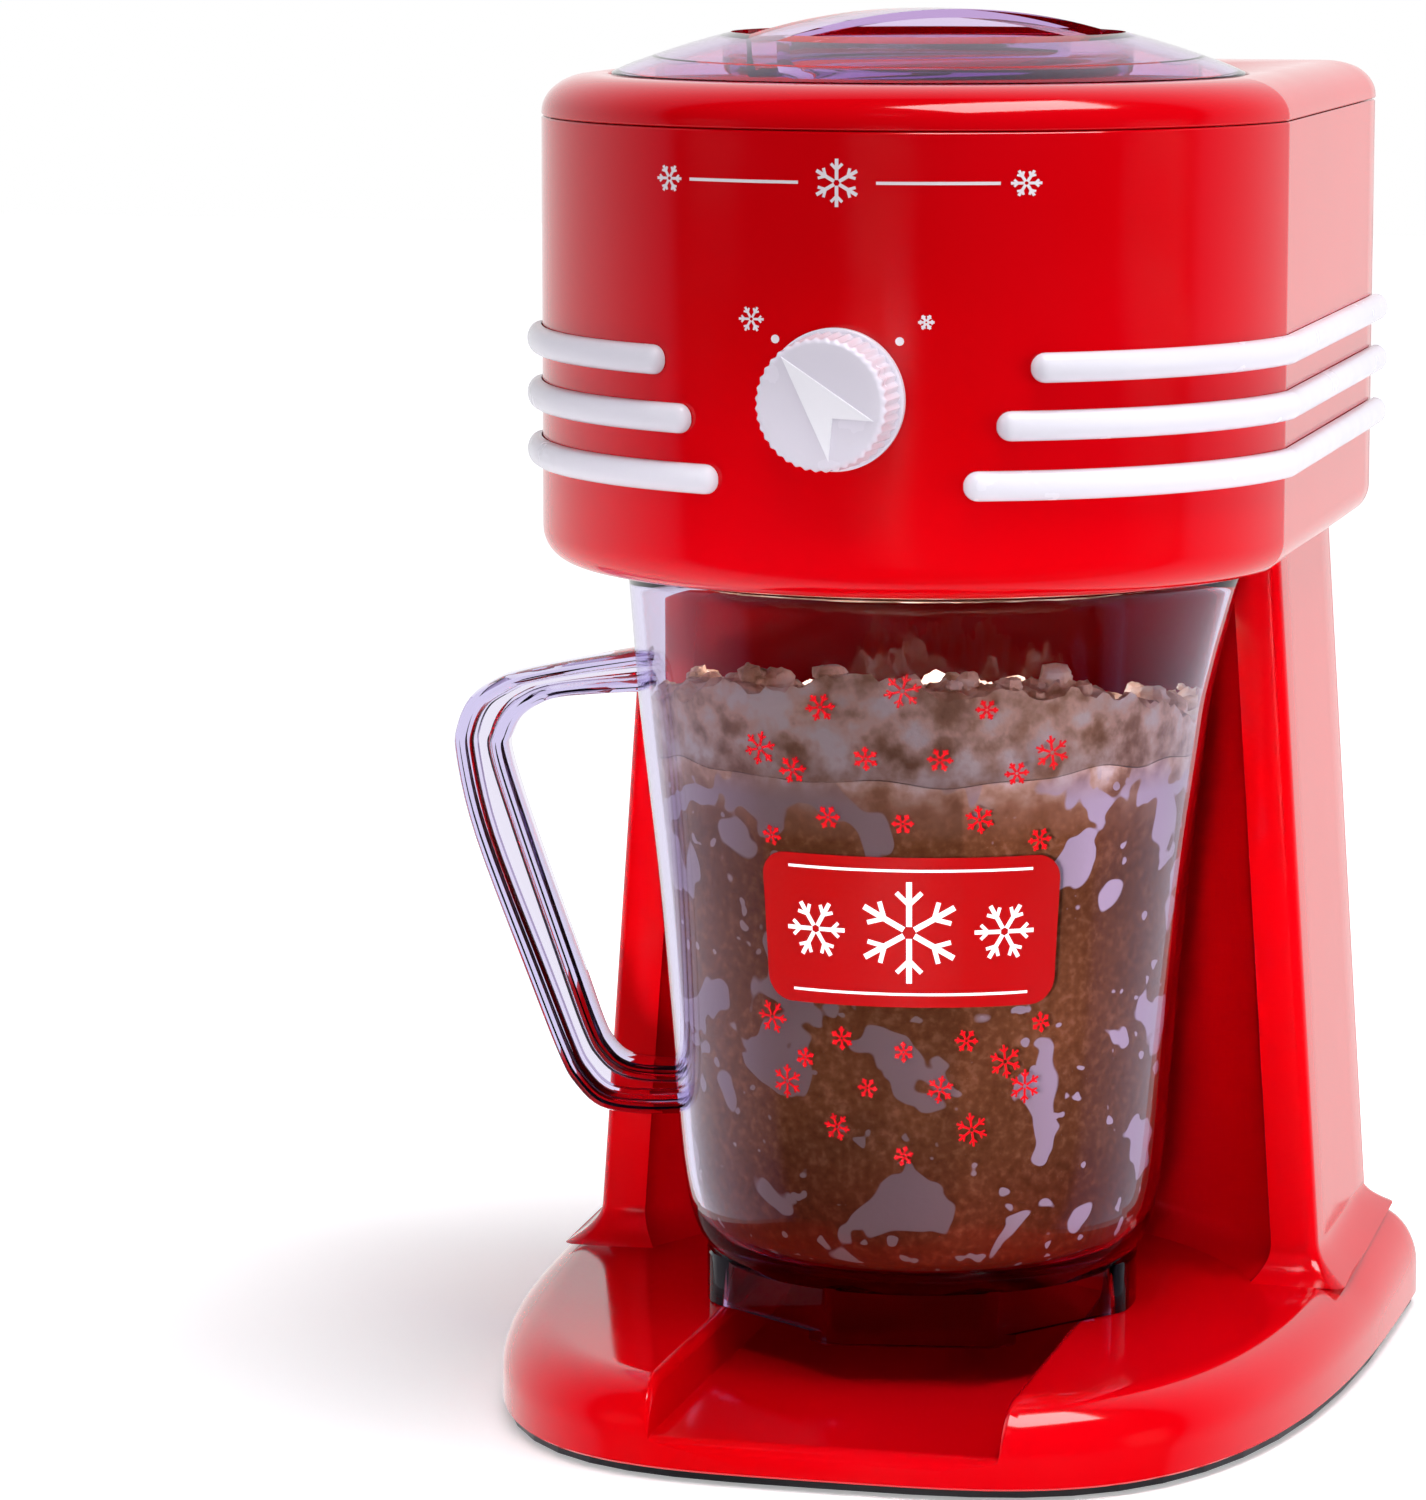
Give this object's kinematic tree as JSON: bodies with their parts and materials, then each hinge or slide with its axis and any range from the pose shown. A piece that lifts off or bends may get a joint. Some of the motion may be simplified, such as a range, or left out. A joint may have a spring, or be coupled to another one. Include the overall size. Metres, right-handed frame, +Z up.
{
  "type": "slushie machine",
  "caption": "Red countertop slush machine with a clear lid, ice hopper and paddle, a texture knob and a clear jug standing on its base.",
  "frame": {"origin": "on the table under the middle of the overall box", "axes": "+Z up, -Y towards the knob and the jug channel, +X to the right seen from the front"},
  "size_m": [0.2454, 0.2642, 0.3728],
  "materials": {
    "red_plastic": "glossy moulded red plastic",
    "white_plastic": "glossy moulded white plastic",
    "clear_plastic": "clear plastic with a faint violet tint",
    "dark_plastic": "dark matte plastic",
    "natural_plastic": "natural food-grade plastic",
    "grey_plastic": "grey moulded plastic",
    "rubber": "black rubber",
    "brass": "turned brass",
    "ferrite": "dark sintered magnet",
    "steel": "bright steel"
  },
  "bodies": {
    "housing": {"adjuster_bush": "natural_plastic", "base_plate": "dark_plastic", "base_screw_front": "steel", "base_screw_left": "steel", "base_screw_rear": "steel", "base_screw_right": "steel", "base_shell": "red_plastic", "column_back_cover": "red_plastic", "column_cover_screw_1": "steel", "column_cover_screw_2": "steel", "column_cover_screw_3": "steel", "column_cover_screw_4": "steel", "column_shell": "red_plastic", "cord_inlet": "rubber", "foot_front_left": "rubber", "foot_front_right": "rubber", "foot_rear_left": "rubber", "foot_rear_right": "rubber", "gearbox_cover": "grey_plastic", "gearbox_tray": "grey_plastic", "head_back_cover": "red_plastic", "head_cover_screw_1": "steel", "head_cover_screw_2": "steel", "head_cover_screw_3": "steel", "head_cover_screw_4": "steel", "head_shell": "red_plastic", "head_top_cap": "red_plastic", "hopper_floor": "steel", "ice_chute": "natural_plastic", "ice_hopper": "red_plastic", "motor_can": "steel", "motor_end_cap": "dark_plastic", "motor_magnet_left": "ferrite", "motor_magnet_right": "ferrite", "reduction_pin": "steel", "shaft_bearing_lower": "brass", "shaft_bearing_upper": "brass", "switch_body": "dark_plastic", "trim_bar_lower_left": "white_plastic", "trim_bar_lower_right": "white_plastic", "trim_bar_middle_left": "white_plastic", "trim_bar_middle_right": "white_plastic", "trim_bar_upper_left": "white_plastic", "trim_bar_upper_right": "white_plastic"},
    "lid": {"lid": "clear_plastic"},
    "jug": {"jug": "clear_plastic"},
    "knob": {"texture_knob": "white_plastic", "adjuster_shaft": "steel"},
    "blade": {"blade_carrier": "natural_plastic", "shaving_blade": "steel"},
    "motor": {"motor_rotor": "steel", "motor_pinion": "brass", "motor_fan": "dark_plastic"},
    "reduction": {"reduction_gear": "natural_plastic"},
    "paddle": {"drive_gear": "natural_plastic", "drive_shaft": "steel", "ice_paddle": "natural_plastic"},
    "rocker": {"switch_rocker": "white_plastic"}
  },
  "joints": [
    {"name": "lid_lift", "type": "slide", "parent": "housing", "child": "lid", "axis": [0, 0, 1], "range_m": [0, 0.12]},
    {"name": "jug_slide", "type": "slide", "parent": "housing", "child": "jug", "axis": [0, -1, 0], "range_m": [0, 0.2]},
    {"name": "knob_turn", "type": "hinge", "parent": "housing", "child": "knob", "pos_m": [0.0039, -0.11905, 0.278], "axis": [0, 1, 0], "range_deg": [0, 95]},
    {"name": "blade_adjust", "type": "slide", "parent": "housing", "child": "blade", "axis": [0, 0, -1], "range_m": [0, 0.00121]},
    {"name": "motor_spin", "type": "hinge", "parent": "housing", "child": "motor", "pos_m": [0.0039, 0.06695, 0.27], "axis": [0, 0, 1], "continuous": true},
    {"name": "reduction_spin", "type": "hinge", "parent": "housing", "child": "reduction", "pos_m": [0.0039, 0.02695, 0.24], "axis": [0, 0, 1], "continuous": true},
    {"name": "paddle_spin", "type": "hinge", "parent": "housing", "child": "paddle", "pos_m": [0.0039, -0.00905, 0.25], "axis": [0, 0, 1], "continuous": true},
    {"name": "rocker_press", "type": "hinge", "parent": "housing", "child": "rocker", "pos_m": [-0.0621, 0.12655, 0.296], "axis": [1, 0, 0], "range_deg": [0, 10]}
  ],
  "couplings": [
    {"joint": "blade_adjust", "follows": "knob_turn", "m_per_rad": 0.000724},
    {"joint": "reduction_spin", "follows": "motor_spin", "ratio": -0.33333},
    {"joint": "paddle_spin", "follows": "motor_spin", "ratio": 0.11111}
  ]
}
